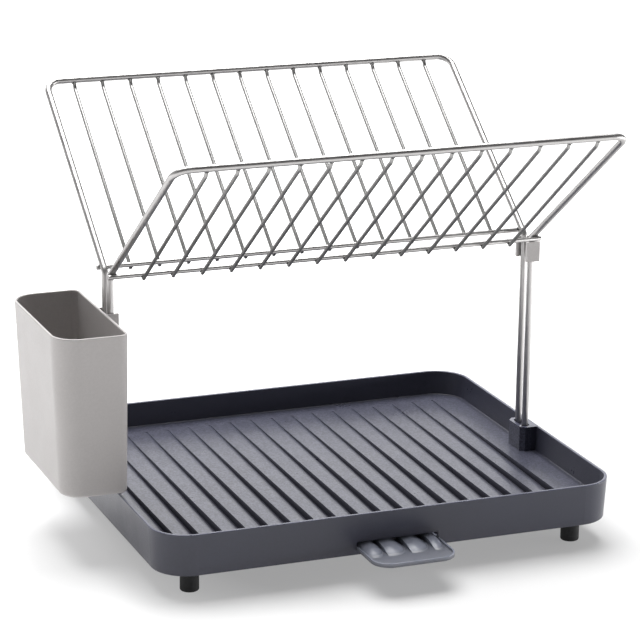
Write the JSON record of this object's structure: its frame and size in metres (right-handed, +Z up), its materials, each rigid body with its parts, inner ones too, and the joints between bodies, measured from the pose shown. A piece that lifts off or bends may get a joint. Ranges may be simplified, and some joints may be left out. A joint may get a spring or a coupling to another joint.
{
  "type": "dish drying rack",
  "caption": "Two-tier drying rack: ribbed drip tray on feet with a slide-out drain spout, two wire wings in a Y on twin-rod legs, and a hanging cutlery pot.",
  "frame": {"origin": "centre of the whole object's base, on the surface that the feet stand on", "axes": "+X to the right along the wings' bars, with the cutlery pot on the -X side; +Y to the back, with the drain spout on the -Y side; +Z up"},
  "size_m": [0.4672, 0.402, 0.364],
  "materials": {
    "tray_plastic": "fine matt texture, dark slate grey",
    "steel_wire": "polished stainless wire",
    "pot_plastic": "satin, warm stone grey",
    "foot_rubber": "matt black"
  },
  "bodies": {
    "tray": {"drip_tray": "tray_plastic", "foot_front_left": "foot_rubber", "foot_front_right": "foot_rubber", "foot_rear_left": "foot_rubber", "foot_rear_right": "foot_rubber"},
    "spout": {"drain_spout": "tray_plastic"},
    "rear_wing": {"rear_frame": "steel_wire", "rear_lower_bar": "steel_wire", "rear_wire_01": "steel_wire", "rear_wire_02": "steel_wire", "rear_wire_03": "steel_wire", "rear_wire_04": "steel_wire", "rear_wire_05": "steel_wire", "rear_wire_06": "steel_wire", "rear_wire_07": "steel_wire", "rear_wire_08": "steel_wire", "rear_wire_09": "steel_wire", "rear_wire_10": "steel_wire", "rear_wire_11": "steel_wire", "rear_wire_12": "steel_wire", "rear_wire_13": "steel_wire", "rear_wire_14": "steel_wire"},
    "front_wing": {"front_frame": "steel_wire", "front_lower_bar": "steel_wire", "front_wire_01": "steel_wire", "front_wire_02": "steel_wire", "front_wire_03": "steel_wire", "front_wire_04": "steel_wire", "front_wire_05": "steel_wire", "front_wire_06": "steel_wire", "front_wire_07": "steel_wire", "front_wire_08": "steel_wire", "front_wire_09": "steel_wire", "front_wire_10": "steel_wire", "front_wire_11": "steel_wire", "front_wire_12": "steel_wire", "front_wire_13": "steel_wire", "front_wire_14": "steel_wire"},
    "clip": {"rod_clip": "pot_plastic"},
    "pot": {"cutlery_pot": "pot_plastic"}
  },
  "joints": [
    {"name": "spout_slide", "type": "slide", "parent": "tray", "child": "spout", "axis": [0, -1, 0], "range_m": [-0.036, 0]},
    {"name": "rear_wing_lift", "type": "slide", "parent": "tray", "child": "rear_wing", "axis": [0, 0, 1], "range_m": [0, 0.04]},
    {"name": "front_wing_lift", "type": "slide", "parent": "tray", "child": "front_wing", "axis": [0, 0, 1], "range_m": [0, 0.04]},
    {"name": "clip_slide", "type": "slide", "parent": "rear_wing", "child": "clip", "axis": [0, 0, 1], "range_m": [-0.12, 0]},
    {"name": "pot_slide", "type": "slide", "parent": "rear_wing", "child": "pot", "axis": [0, 0, 1], "range_m": [-0.002, 0.02]}
  ],
  "couplings": [
    {"joint": "front_wing_lift", "follows": "rear_wing_lift", "ratio": 1}
  ]
}
